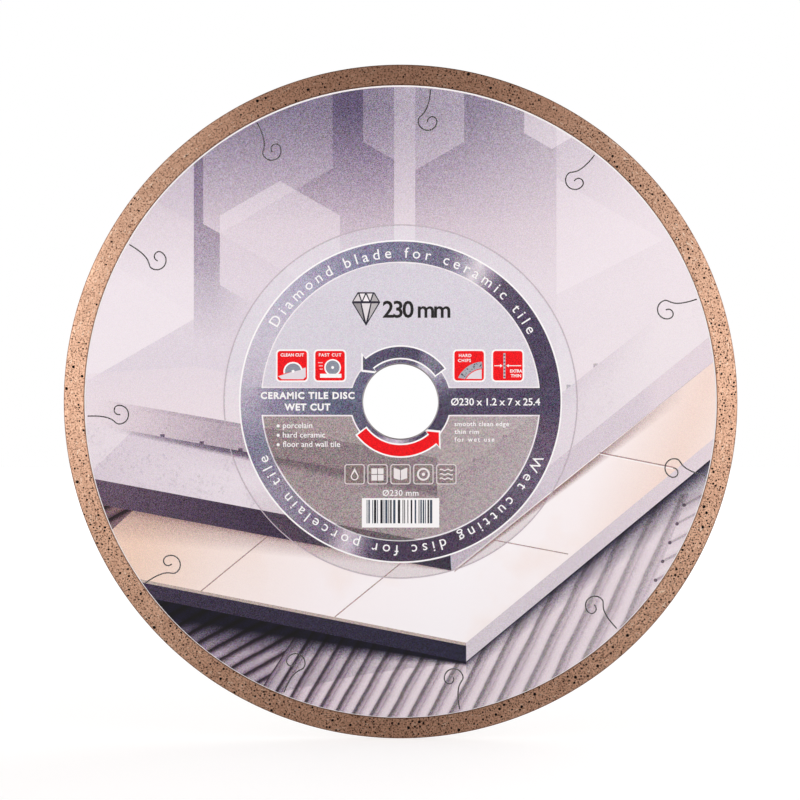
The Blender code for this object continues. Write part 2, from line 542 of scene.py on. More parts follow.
def ground_steel():
    """Bare steel ground round its axis, with a straw heat tint by the rim and the slots."""
    nodes = surface("ground_steel", 0.3, 1.0)
    vector, radius = nodes.around(9000.0, 3.0)
    lines = nodes.noise(1.0, 3.0, vector)
    broad = nodes.noise(1.0, 2.0, nodes.around(700.0, 1.5)[0])
    steel = nodes.blend(nodes.range(lines, 0.3, 0.7), linear(168, 169, 172), linear(206, 206, 208))
    steel = nodes.blend(nodes.range(broad, 0.35, 0.7, 0.0, 0.4), steel, linear(150, 151, 155))
    heat = nodes.range(radius, (CORE - 5.0) * MM, CORE * MM, 0.0, 0.55)
    steel = nodes.blend(heat, steel, linear(176, 152, 112))
    stains = nodes.range(nodes.noise(45.0, 4.0), 0.5, 0.75, 0.0, 0.25)
    steel = nodes.blend(stains, steel, linear(140, 134, 130))
    burnt = nodes.math("MULTIPLY", nodes.attribute("burnt", "Fac"), 0.8)
    nodes.set("Base Color", nodes.blend(burnt, steel, linear(96, 78, 70)))
    nodes.set("Roughness", nodes.range(lines, 0.25, 0.75, 0.24, 0.42))
    nodes.bump(lines, 0.000006, 0.5)
    nodes.turned_metal(0.75)
    return nodes.owner


# Reflection colours of the rim's metal, linear.
BRONZE_BRIGHT = (1.0, 0.84, 0.68)
BRONZE_PALE = (0.95, 0.62, 0.44)
BRONZE_MID = (0.58, 0.335, 0.225)
BRONZE_DARK = (0.13, 0.05, 0.03)


def sintered_bronze():
    """The rim's bronze: a finely mottled ground metal with grinding streaks and painted shade at its edges.
    """
    nodes = surface("sintered_bronze", 0.4, 1.0)
    vector, radius = nodes.around(2600.0, 16.0)
    streaks = nodes.noise(1.0, 2.0, vector)
    grains = nodes.noise(4200.0, 2.0)
    mottle = nodes.noise(1300.0, 3.0)
    shade = nodes.math("ADD", nodes.math("MULTIPLY", grains, 0.4), nodes.math("MULTIPLY", mottle, 0.35))
    shade = nodes.math("ADD", shade, nodes.math("MULTIPLY", streaks, 0.25))
    colour = nodes.blend(nodes.range(shade, 0.38, 0.62), BRONZE_PALE, BRONZE_MID)
    patches = nodes.range(nodes.noise(100.0, 3.0), 0.4, 0.7, 0.0, 0.35)
    colour = nodes.blend(patches, colour, BRONZE_MID)
    specks = nodes.range(nodes.noise(1600.0, 3.0), 0.52, 0.64, 0.0, 0.85)
    colour = nodes.blend(specks, colour, BRONZE_DARK)
    scratches = nodes.noise(1.0, 1.0, nodes.around(1900.0, 55.0)[0])
    colour = nodes.blend(nodes.range(scratches, 0.66, 0.74, 0.0, 0.8), colour, BRONZE_BRIGHT)
    # Painted shade: darker bronze at the joint with the core and at the rounded outer edge, where shade
    # falls.
    inner = nodes.range(radius, (CORE + 0.05) * MM, (CORE + 0.5) * MM, 0.85, 0.0)
    outer = nodes.range(radius, (OUTER - 0.4) * MM, (OUTER - 0.1) * MM, 0.0, 0.8)
    nodes.set("Base Color", nodes.blend(nodes.math("MAXIMUM", inner, outer), colour, BRONZE_DARK))
    nodes.set("Roughness", nodes.range(shade, 0.35, 0.65, 0.34, 0.46))
    nodes.bump(nodes.math("SUBTRACT", streaks, nodes.math("MULTIPLY", mottle, 0.6)), 0.00001, 0.4)
    nodes.turned_metal(0.85)
    return nodes.owner


def mottled(name, scale, low, high, reach=0.7, strength=0.7, roughness=0.85, metallic=0.0, specular=0.15):
    """A dull, rough surface mottled between two colours."""
    nodes = surface(name, roughness, metallic, specular)
    mottle = nodes.noise(scale, 3.0)
    nodes.set("Base Color", nodes.blend(nodes.range(mottle, 0.35, reach), linear(*low), linear(*high)))
    nodes.bump(mottle, 0.00002, strength)
    return nodes.owner


def burnt_and_shaded_steel():
    """Dark oxide on the walls that the laser cut, made darker still as painted shade inside the narrow slots.
    """
    return mottled("burnt_and_shaded_steel", 3000.0, (14, 7, 8), (50, 26, 26), reach=0.65, strength=0.6)


def graphite():
    """Dark floor of the open pores, where graphite chips sit."""
    return mottled("graphite", 5200.0, (8, 6, 6), (30, 19, 16))


def pitted_bronze():
    """Floor of the shallow pits: unpolished brown matrix."""
    brown = (92, 52, 38)
    return mottled("pitted_bronze", 4200.0, brown, (44, 26, 20), roughness=0.75, metallic=0.1, specular=0.5)


# ---------------------------------------------------------------- rim

RIM_STEPS = 720
EDGE_ROUND = 0.12
LIP_ROUND = 0.05

# The joint with the core: half the groove's width, the radius of its floor, and the gap in it.
GROOVE = 0.28
GROOVE_FLOOR = 109.53
JOINT_GAP = 0.03

# The rim's materials, by their number in the mesh.
BRONZE = 0
CHIPS = 1
PITTED = 2

# Pores: how many on a face, their radii from and to, their depth, and which material is in them.
PORE_KINDS = (
    (70, 0.46, 0.66, 0.2, CHIPS),
    (420, 0.29, 0.46, 0.16, CHIPS),
    (1250, 0.18, 0.28, 0.1, CHIPS),
    (1100, 0.10, 0.17, 0.05, PITTED),
)

# Where a pore's floor lies, as a share of its outline, and the least land between two pores.
PORE_FLOOR = 0.7
PORE_LAND = 0.05


def pore_places(seed, inner, outer):
    """Seeded outlines and depths of the rim's pores, denser in some stretches, never touching."""
    draw = random.Random(seed)
    phases = [draw.uniform(0, 2 * math.pi) for _ in range(3)]
    taken = {}
    pores = []
    for count, small, large, depth, mark in PORE_KINDS:
        placed = 0
        while placed < count:
            angle = draw.uniform(0, 2 * math.pi)
            wave = 0.5 + 0.34 * math.cos(angle + 1.05) + 0.12 * math.sin(3 * angle + phases[1])
            wave += 0.12 * math.sin(11 * angle + phases[2])
            if draw.random() > wave:
                continue
            size = draw.uniform(small, large)
            radius = draw.uniform(inner + 1.06 * size, outer - 1.06 * size)
            x = radius * math.cos(angle)
            z = radius * math.sin(angle)
            cell = (round(x), round(z))
            near = []
            for i in (-1, 0, 1):
                for j in (-1, 0, 1):
                    near += taken.get((cell[0] + i, cell[1] + j), [])
            if any(math.hypot(x - px, z - pz) < size + ps + PORE_LAND for px, pz, ps in near):
                continue
            taken.setdefault(cell, []).append((x, z, size))
            placed += 1
            corners = draw.randint(5, 7)
            spin = draw.uniform(0, 2 * math.pi)
            outline = []
            for i in range(corners):
                turn = spin + 2 * math.pi * i / corners
                reach = size * draw.uniform(0.7, 1.05)
                outline.append((x + reach * math.cos(turn), z + reach * math.sin(turn)))
            pores.append((outline, (x, z), depth * draw.uniform(0.7, 1.2), mark))
    return pores


def add_ring(vertices, radius, y, count):
    """Adds a ring of vertices round the axis, and gives their numbers."""
    start = len(vertices)
    vertices += [(x, y, z) for x, z in circle(radius, count=count)]
    return list(range(start, start + count))


def add_skirt(polygons, marks, rings, mark):
    """Adds quads between each ring and the next."""
    for near, far in zip(rings, rings[1:]):
        for i in range(len(near)):
            j = (i + 1) % len(near)
            polygons.append([near[j], near[i], far[i], far[j]])
            marks.append(mark)


def rim_face(depth, inward, inner, outer, seed, vertices, polygons, marks):
    """One ground face of the rim with open pores. inward is +1 on the front face and -1 on the
    back. Adds to the mesh lists, and gives the vertices of its inner and outer edges."""
    pores = pore_places(seed, inner, outer)
    edges = [circle(outer, count=RIM_STEPS), circle(inner, count=RIM_STEPS)]
    loops = edges + [pore[0] for pore in pores]
    flat, triangles, held, traced = triangulate(loops)
    start = len(vertices)
    vertices += [(x, depth, z) for x, z in flat]
    traced = [[start + i for i in loop] for loop in traced]

    def add(polygon, mark):
        polygons.append(polygon if inward > 0 else polygon[::-1])
        marks.append(mark)

    for triangle, inside in zip(triangles, held):
        if inside == {0}:
            add([start + i for i in triangle], BRONZE)
    for (outline, (cx, cz), deep, mark), lip in zip(pores, traced[2:]):
        floor = len(vertices)
        count = len(outline)
        for x, z in outline:
            low = (cx + (x - cx) * PORE_FLOOR, depth + inward * deep, cz + (z - cz) * PORE_FLOOR)
            vertices.append(low)
        for i in range(count):
            j = (i + 1) % count
            add([lip[i], lip[j], floor + j, floor + i], mark)
        add([floor + i for i in range(count)], mark)
    return traced[:2]


def build_rim():
    """The sintered rim: two pored faces, a rounded cutting edge, and the groove for the core."""
    vertices = []
    polygons = []
    marks = []
    face = -RIM_FACE
    inner = CORE + LIP_ROUND
    outer = OUTER - EDGE_ROUND
    front_outer, front_inner = rim_face(-face, 1, inner, outer, 11, vertices, polygons, marks)
    back_outer, back_inner = rim_face(face, -1, inner, outer, 12, vertices, polygons, marks)

    rounding = []
    for degrees in (30, 60, 90):
        turn = math.radians(degrees)
        rounding.append((outer + EDGE_ROUND * math.sin(turn), EDGE_ROUND * (1 - math.cos(turn)) - face))
    rounding += [(r, -y) for r, y in reversed(rounding)]
    edge = [add_ring(vertices, r, y, RIM_STEPS) for r, y in rounding]
    add_skirt(polygons, marks, [front_outer] + edge + [back_outer], BRONZE)
    inside = [(CORE, face - LIP_ROUND), (CORE, GROOVE), (GROOVE_FLOOR, GROOVE)]
    inside += [(r, -y) for r, y in reversed(inside)]
    groove = [add_ring(vertices, r, y, RIM_STEPS) for r, y in inside]
    add_skirt(polygons, marks, [back_inner] + groove + [front_inner], BRONZE)
    materials = [sintered_bronze(), graphite(), pitted_bronze()]
    rim = new_object("rim_sintered", vertices, polygons, materials, SMOOTH_ANGLE)
    rim.data.polygons.foreach_set("material_index", marks)
    fit_on(rim, "diamond_rim")


# ---------------------------------------------------------------- steel core

TONGUE = 0.25
BORE_CHAMFER = 0.1

# Widths of a slot at the faces and at mid-thickness, and of the heat-tinted strip along it.
KERF = 0.42
KERF_WAIST = 0.02
BURN_WIDTH = 1.1

# The core's materials, by their number in the mesh.
GROUND = 0
BURNT_AND_SHADED = 1


def build_core():
    """The steel disc: chamfered bore, laser-cut slots that narrow at mid-thickness, and the
    tongue under the rim."""
    vertices = []
    polygons = []
    marks = []
    burnt = []
    half = -CORE_FACE
    shoulder = CORE - JOINT_GAP
    lips = {}
    slots = slot_outlines(KERF)
    for side in (-1, 1):
        edges = [circle(shoulder), circle(BORE + BORE_CHAMFER)]
        flat, triangles, held, traced = triangulate(edges + slots + slot_outlines(BURN_WIDTH))
        start = len(vertices)
        vertices += [(x, side * half, z) for x, z in flat]
        lips[side] = [[start + i for i in loop] for loop in traced[: 2 + SLOT_COUNT]]
        hot = {i for loop in traced[2 : 2 + SLOT_COUNT] for i in loop}
        burnt += [1.0 if i in hot else 0.0 for i in range(len(flat))]
        barred = set(range(1, 2 + SLOT_COUNT))
        for triangle, inside in zip(triangles, held):
            if 0 in inside and not inside & barred:
                face = [start + i for i in triangle]
                polygons.append(face if side < 0 else face[::-1])
                marks.append(GROUND)
    tip = GROOVE_FLOOR - JOINT_GAP
    tongue = [(shoulder, -TONGUE), (tip, -TONGUE), (tip, TONGUE), (shoulder, TONGUE)]
    tongue = [add_ring(vertices, r, y, ROUND) for r, y in tongue]
    add_skirt(polygons, marks, [lips[-1][0]] + tongue + [lips[1][0]], GROUND)
    bore = [add_ring(vertices, BORE, y, ROUND) for y in (half - BORE_CHAMFER, BORE_CHAMFER - half)]
    add_skirt(polygons, marks, [lips[1][1]] + bore + [lips[-1][1]], GROUND)
    # The slot walls take the oxide material, darkened further as painted shade.
    for front, back, waist in zip(lips[-1][2:], lips[1][2:], slot_outlines(KERF_WAIST)):
        start = len(vertices)
        vertices += [(x, 0.0, z) for x, z in waist]
        middle = list(range(start, len(vertices)))
        add_skirt(polygons, marks, [back, middle, front], BURNT_AND_SHADED)
    core = new_object("core_steel", vertices, polygons, [ground_steel(), burnt_and_shaded_steel()], SMOOTH_ANGLE)
    core.data.polygons.foreach_set("material_index", marks)
    heat = core.data.attributes.new(name="burnt", type="FLOAT", domain="POINT")
    heat.data.foreach_set("value", burnt + [0.0] * (len(vertices) - len(burnt)))
    fit_on(core, "steel_core")


# ---------------------------------------------------------------- layered artwork


def divided(loop, longest):
    """The same closed outline with no edge longer than this."""
    points = []
    for (x0, z0), (x1, z1) in zip(loop, loop[1:] + loop[:1]):
        steps = max(1, math.ceil(math.hypot(x1 - x0, z1 - z0) / longest))
        points += [(x0 + (x1 - x0) * i / steps, z0 + (z1 - z0) * i / steps) for i in range(steps)]
    return points


class Layer:
    """One flat shape of the artwork: a closed outline, a paint and how much it covers. Paint and
    cover may each be a function of x and z. group names the piece that the shape's area belongs
    to; a layer with no group only tints what is under it."""

    def __init__(self, outline, paint, cover=1.0, group=None):
        self.outline = divided(outline, 5.0)
        self.paint = paint if callable(paint) else lambda x, z: paint
        self.cover = cover if callable(cover) else lambda x, z: cover
        self.group = group


def solid(group, paint, *outlines):
    """Opaque layers of one paint in one group."""
    return [Layer(outline, paint, 1.0, group) for outline in outlines]


def painted(layers, sheet, holes, grid):
    """Flattens the layers into the sheet's area. Gives the vertices and, for each group, its
    triangles and their corner colours."""
    loops = [ccw(loop) for loop in [layer.outline for layer in layers] + [sheet] + list(holes)]
    reach = max(x for x, z in sheet)
    steps = int(reach / grid)
    points = [
        (i * grid + 0.013, j * grid + 0.017)
        for i in range(-steps, steps + 1)
        for j in range(-steps, steps + 1)
        if math.hypot(i, j) * grid < reach - 1.0
    ]
    vertices, triangles, held, _ = triangulate(loops, points)
    count = len(layers)
    barred = set(range(count + 1, count + 1 + len(holes)))
    groups = {}
    for triangle, inside in zip(triangles, held):
        if count not in inside or inside & barred:
            continue
        present = [layers[i] for i in sorted(inside) if i < count]
        group = [layer.group for layer in present if layer.group][-1]
        corners = []
        for i in triangle:
            x, z = vertices[i]
            colour = (255, 255, 255)
            for layer in present:
                colour = mix(colour, layer.paint(x, z), layer.cover(x, z))
            corners.append(linear(*colour))
        found = groups.setdefault(group, ([], []))
        found[0].append(list(triangle))
        found[1].append(corners)
    return vertices, groups


def across(*stops):
    """A paint that changes from left to right."""
    return lambda x, z: ramp(stops, x)


def line_through(a, b):
    """The height of the line through two points, as a function of x."""
    slope = (b[1] - a[1]) / (b[0] - a[0])
    return lambda x: a[1] + (x - a[0]) * slope


def seam_through(a, b):
    """The x of the line through two points, as a function of height."""
    slope = (b[0] - a[0]) / (b[1] - a[1])
    return lambda z: a[0] + (z - a[1]) * slope


def below(edge, drop):
    return lambda x: edge(x) - drop


def between(top, low, start, end):
    """The area between two sloping edges."""
    return [(start, top(start)), (end, top(end)), (end, low(end)), (start, low(start))]


def stroke(a, b, width):
    """A straight line of this width."""
    length = math.hypot(b[0] - a[0], b[1] - a[1])
    nx = -(b[1] - a[1]) / length * width / 2
    nz = (b[0] - a[0]) / length * width / 2
    return [(a[0] + nx, a[1] + nz), (a[0] - nx, a[1] - nz), (b[0] - nx, b[1] - nz), (b[0] + nx, b[1] + nz)]


def shadow(edge, start, end, stops, paint, fade=lambda x: 1.0, stretch=lambda x: 1.0):
    """A soft shadow under a sloping edge: (depth, cover) stops, measured down from the edge. fade
    weakens it and stretch deepens it along x. stretch is a straight line of x, as the layers are
    straight between their ends."""
    layers = []
    for (d0, c0), (d1, c1) in zip(stops, stops[1:]):
        top = lambda x, d=d0: edge(x) - d * stretch(x)
        low = lambda x, d=d1: edge(x) - d * stretch(x)

        def cover(x, z, d0=d0, c0=c0, d1=d1, c1=c1):
            depth = (edge(x) - z) / stretch(x)
            return (c0 + (c1 - c0) * clamp((depth - d0) / (d1 - d0))) * fade(x)

        layers.append(Layer(between(top, low, start, end), paint, cover))
    return layers


# ---------------------------------------------------------------- the printed picture

LILAC_WHITE = (233, 225, 232)
PANEL_WHITE = (242, 236, 242)
FAINT_WHITE = (247, 241, 247)
SHADE = (10, 8, 30)
GROUND_PALE = (232, 222, 229)

# The picture is drawn out to this far from the centre, and the blade cuts it off.
EDGE = 112.0

# Where the front corner of each pictured slab and of the tile stands.
UPPER_CORNER = 12.5
SECOND_CORNER = 17.0
TILE_CORNER = 22.4

# Edges of the slabs and the tile, which run off the left or the right of the blade.
LIP = line_through((-106.0, 1.4), (-52.0, -8.0))
FOOT = line_through((-106.0, -7.6), (UPPER_CORNER, -29.0))
LIP_RIGHT = line_through((UPPER_CORNER, -19.2), (30.4, -5.4))
FOOT_RIGHT = line_through((UPPER_CORNER, -30.6), (84.4, 26.1))
CREST = line_through((-104.7, -26.4), (16.8, -49.2))
BASE = line_through((-102.0, -35.3), (17.6, -57.8))
RISE = line_through((SECOND_CORNER, -49.2), (78.6, 0.5))
DROP = line_through((18.4, -57.8), (106.5, 13.2))
BROW = line_through((-88.3, -60.8), (TILE_CORNER, -82.4))
CHIN = line_through((-83.2, -67.6), (TILE_CORNER, -89.0))
SIDE_TOP = line_through((TILE_CORNER, -82.4), (106.8, -12.7))
SIDE_LOW = line_through((TILE_CORNER, -89.0), (106.1, -19.7))
TILE_LEFT = line_through((-91.4, -37.4), (-98.6, -43.9))

# Where the three directions of combed ridges meet.
LEFT_SEAM = seam_through((-36.5, -80.8), (-46.9, -97.0))
RIGHT_SEAM = seam_through((86.5, -62.4), (99.3, -28.9))

# The left-hand and right-hand ridges, and which right-hand dark lines start in sight.
LEFT_ANGLE = 29.0
LEFT_PITCH = 4.3
RIGHT_ANGLE = 27.0
RIGHT_PITCH = 4.61
RIGHT_OFFSET = 0.37
RIGHT_LINES = range(-24, -14)


def right_line_start(k):
    """Where the right-hand ridge's dark line k meets the seam."""
    rise = math.cos(math.radians(RIGHT_ANGLE)) / RIGHT_PITCH
    run = math.sin(math.radians(RIGHT_ANGLE)) / RIGHT_PITCH
    slope = RIGHT_SEAM(1.0) - RIGHT_SEAM(0.0)
    z = (k - RIGHT_OFFSET + run * RIGHT_SEAM(0.0)) / (rise - run * slope)
    return RIGHT_SEAM(z), z


def backdrop(x, z):
    """Lilac grey that pales downwards and to the right."""
    stops = ((40, 222, 214, 225), (60, 200, 187, 201), (79, 153, 140, 162), (100, 92, 82, 110))
    return mix(ramp(stops, z), LILAC_WHITE, clamp((x + 10) / 110))


def hexagon(cx, cz, side):
    """A hexagon that stands on a corner."""
    return [(cx + x, cz + z) for x, z in arc(side, 90, 390, 5)]


def pendant(left, right, tip_x, tip_z):
    """A band that hangs from the top edge and ends in two sloping hexagon sides."""
    slope = math.tan(math.radians(30))
    left_side = [(left, EDGE), (left, tip_z + (tip_x - left) * slope)]
    right_side = [(right, tip_z + (right - tip_x) * slope), (right, EDGE)]
    tip = [] if tip_x <= left else [(tip_x, tip_z)]
    return left_side + tip + right_side


def gap_cover(x, z):
    """How dark the gap between two panels is: it fades downwards and, low down, to the right."""
    down = ramp(((20, 0.0), (48, 0.36), (79, 0.5)), z)[0]
    return down * (1.0 if z > 45 else clamp((-50 - x) / 14))


def hexagon_panels():
    """Translucent hexagon panels at the top of the picture."""
    left_cover = lambda x, z: 0.5 + clamp((60 - z) / 200, 0, 0.2)
    hexagon_cover = lambda x, z: clamp(0.22 + (z - 40) / 100, 0.12, 0.4)
    gap = [(-70.6, EDGE), (-70.6, 20.0), (-50.0, 20.0), (-50.0, 33.0), (-61.7, 39.8)]
    gap += [(-61.7, 57.4), (-67.4, 60.6), (-67.4, EDGE)]
    above_corner = [(53.2, EDGE), (53.2, 76.1), (89.5, 55.1), (EDGE, 66.0), (EDGE, EDGE)]
    below_corner = [(53.2, 36.5), (EDGE, 66.7), (EDGE, 20), (53.2, 0)]
    left_top = [(-EDGE, 85), (-70.6, 60.9), (-70.6, EDGE), (-EDGE, EDGE)]
    left_foot = [(-EDGE, 55.5), (-70.6, 29.6), (-70.6, 28.2), (-EDGE, 4.2)]
    under_hexagon = [(-61.6, 57.2), (-61.6, 39.8), (-41.2, 28.0), (-20.6, 33.6)]
    return [
        Layer(pendant(-EDGE, -70.6, -EDGE, 4.2), PANEL_WHITE, left_cover),
        Layer(gap, (110, 98, 124), gap_cover),
        Layer(pendant(-67.4, -23.2, -61.8, 57.4), PANEL_WHITE, 0.22),
        Layer(hexagon(-41.2, 51.6, 23.7), FAINT_WHITE, hexagon_cover),
        Layer(pendant(-12.8, -2.2, -2.2, 82.5), PANEL_WHITE, 0.27),
        Layer([(-2.2, EDGE), (-2.2, 48.0), (5.0, 45.0), (5.0, EDGE)], FAINT_WHITE, 0.47),
        Layer(pendant(5.0, 21.7, 5.0, 79.0), PANEL_WHITE, 0.32),
        Layer(pendant(42.2, 61.0, 51.6, 86.2), FAINT_WHITE, 0.46),
        Layer([(53.2, 36.5), (89.5, 55.1), (53.2, 76.1)], FAINT_WHITE, 0.42),
        Layer(above_corner, FAINT_WHITE, 0.26),
        Layer(below_corner, FAINT_WHITE, 0.16),
        Layer(left_top, (190, 178, 198), 0.18),
        Layer(left_foot, FAINT_WHITE, 0.12),
        Layer(under_hexagon, (206, 194, 208), 0.22),
    ]


def combed_ground():
    """Combed adhesive in three directions, which meet at two seams."""
    left_paint = across((-100, 176, 160, 178), (-60, 200, 186, 200), (-36, 216, 203, 214))
    middle_paint = across((-50, 216, 203, 214), (0, *GROUND_PALE), (80, 230, 220, 227))
    middle = [(-EDGE, -25.0), (EDGE, 20.0), (EDGE, -EDGE), (-EDGE, -EDGE)]
    left = [(-EDGE, -25.0), (LEFT_SEAM(-25.0), -25.0), (LEFT_SEAM(-EDGE), -EDGE), (-EDGE, -EDGE)]
    right = [(RIGHT_SEAM(4.0), 4.0), (RIGHT_SEAM(-EDGE), -EDGE), (EDGE, -EDGE), (EDGE + 1.0, 4.0)]
    seam = stroke((LEFT_SEAM(-60.0) - 0.6, -60.0), (LEFT_SEAM(-EDGE) - 0.6, -EDGE), 0.9)
    layers = solid("print_ridges_middle", middle_paint, middle)
    layers += solid("print_ridges_left", left_paint, left)
    layers += solid("print_ridges_right", GROUND_PALE, right)
    layers.append(Layer(seam, (222, 208, 216), 0.7))
    for k in RIGHT_LINES:
        layers.append(Layer(circle(0.62, right_line_start(k), 14), (88, 70, 88), 0.8))
    patch = [(-EDGE, BASE(-EDGE)), (-91.4, BASE(-91.4)), (-98.6, -43.9), (-EDGE, TILE_LEFT(-EDGE))]
    layers.append(Layer(patch, (74, 50, 54), 0.55))
    return layers


def fade_in(x):
    """How much the upper slab's shadow shows: nothing at the left, where the light melts it."""
    return ramp(((-98, 0.0), (-85, 0.35), (-65, 0.75), (-50, 0.9)), x)[0]


def fade_out(x):
    return clamp((88 - x) / 40)


def notches(edge, places, cover):
    """Small upright notches in the foot of the upper slab."""
    layers = []
    for x in places:
        feet = [(x - 0.75, edge(x - 0.75)), (x + 0.75, edge(x + 0.75))]
        notch = feet + [(x + 0.75, edge(x) + 0.9), (x - 0.75, edge(x) + 0.9)]
        layers.append(Layer(notch, (96, 80, 102), cover(x)))
    return layers


def upper_slab():
    """The front and right side of the upper slab, with small notches under it, and its shadow."""
    glow = [(-EDGE, 9.0), (-70, 12.0), (20, -6.0), (60, 18.0), (EDGE, 40.0), (EDGE, -30), (20, -40)]
    glow.append((-EDGE, -10))
    glow_paint = across((-90, 231, 221, 229), (60, 238, 231, 238))
    white_patch = [(-EDGE, -6.6), (-91.8, -10.2), (-104.5, -22.9), (-EDGE, -24.0)]
    front_left = ((-105, 231, 221, 229), (-88, 216, 203, 213), (-70, 196, 182, 194))
    front_paint = across(*front_left, (-52, 180, 166, 180), (0, 150, 138, 154))
    front_cover = lambda x, z: clamp((x + 112) / 16, 0.35, 1.0)
    lip_cover = lambda x, z: 0.3 * clamp((x + 92) / 30)
    foot_stretch = lambda x: 1.5 + (x + 98) / 110 * 3.5
    side = between(LIP_RIGHT, FOOT_RIGHT, UPPER_CORNER, 90)
    layers = [Layer(glow, glow_paint, lambda x, z: clamp((22 - z) / 24), "print_backdrop")]
    layers += solid("print_slabs", slab_top_paint, between(FOOT, CREST, -EDGE, UPPER_CORNER))
    layers.append(Layer(white_patch, (240, 233, 239), 0.55))
    foot_stops = ((0.0, 1.0), (0.5, 0.8), (1.0, 0.0))
    layers += shadow(FOOT, -98, UPPER_CORNER, foot_stops, (74, 60, 84), fade_in, foot_stretch)
    layers += [
        Layer(between(LIP, FOOT, -EDGE, UPPER_CORNER), front_paint, front_cover, "print_slabs"),
        Layer(between(LIP, below(LIP, 1.3), -92, UPPER_CORNER), (140, 126, 146), lip_cover),
        Layer(side, (236, 228, 234), lambda x, z: 0.5 * fade_out(x)),
    ]
    side_stops = ((0.0, 0.42), (1.2, 0.14), (6.0, 0.0))
    layers += shadow(FOOT_RIGHT, UPPER_CORNER, 90, side_stops, (120, 108, 134), fade_out)
    layers += notches(FOOT, (-81.3, -67.9, -54.6), lambda x: 0.95)
    layers += notches(FOOT_RIGHT, (25.3, 35.6, 46.0, 57.4, 66.6), lambda x: 0.6 * fade_out(x))
    return layers


def slab_top_paint(x, z):
    """The second slab's top: darker under the upper slab."""
    along = ((-108, 214, 203, 215), (-60, 230, 222, 231), (40, 222, 214, 224), (90, 236, 229, 235))
    depth = (FOOT(x) if x < UPPER_CORNER else FOOT_RIGHT(x)) - z
    light = clamp((x + 100) / 40) if x < UPPER_CORNER else clamp((90 - x) / 60)
    return mix(ramp(along, x), (196, 182, 198), 0.55 * clamp(1 - depth / 9) * light)


def second_slab():
    """Mottled stone top, dark front, pale right side."""
    right_top = [(UPPER_CORNER, FOOT_RIGHT(UPPER_CORNER)), (84.4, 26.1), (EDGE, 44), (EDGE, RISE(EDGE))]
    right_top += [(SECOND_CORNER, -49.2), (UPPER_CORNER, CREST(UPPER_CORNER))]
    right_side = [(SECOND_CORNER, -49.2), (EDGE, RISE(EDGE)), (EDGE, DROP(EDGE)), (17.4, -57.8)]
    front_paint = across((-100, 96, 78, 98), (-50, 64, 50, 72), (10, 30, 28, 48))
    side_paint = across((18, 206, 201, 216), (60, 214, 204, 215), (83, 216, 206, 217), (86, 226, 215, 224))
    under_side = stroke((18.0, DROP(18.0)), (EDGE, DROP(EDGE)), 0.45)
    layers = solid("print_slabs", slab_top_paint, right_top)
    layers += solid("print_edges", front_paint, between(CREST, BASE, -EDGE, 17.4))
    layers += solid("print_edges", side_paint, right_side)
    layers.append(Layer(stroke((SECOND_CORNER, -50.0), (17.5, -57.8), 0.4), (196, 204, 226), 0.8))
    layers.append(Layer(under_side, (84, 70, 90), lambda x, z: 0.85 * clamp((108 - x) / 34)))
    return layers


def tile_shade():
    """Shade on the combed ground under the tile's front and its right side."""
    second = [(TILE_CORNER, -89.0), (-2.6, -91.8), (-14.3, -93.5), (-40.0, -99.0), (-90.0, -EDGE)]
    second.append((-EDGE, CHIN(-EDGE)))
    front_stops = ((0.0, 1.0), (1.2, 1.0), (2.0, 0.55), (3.8, 0.0))
    front_stretch = lambda x: 0.4 + (TILE_CORNER - x) / 102.4 * 4.0
    layers = shadow(CHIN, -EDGE, TILE_CORNER, front_stops, SHADE, stretch=front_stretch)
    layers.append(Layer(second, SHADE, 0.13))
    side_stops = ((0.0, 0.92), (1.2, 0.7), (4.0, 0.3), (9.5, 0.0))
    side_fade = lambda x: clamp(0.75 + (x - TILE_CORNER) / 160)
    side_stretch = lambda x: 0.5 + (x - TILE_CORNER) / 90
    return layers + shadow(SIDE_LOW, TILE_CORNER, EDGE, side_stops, SHADE, side_fade, side_stretch)


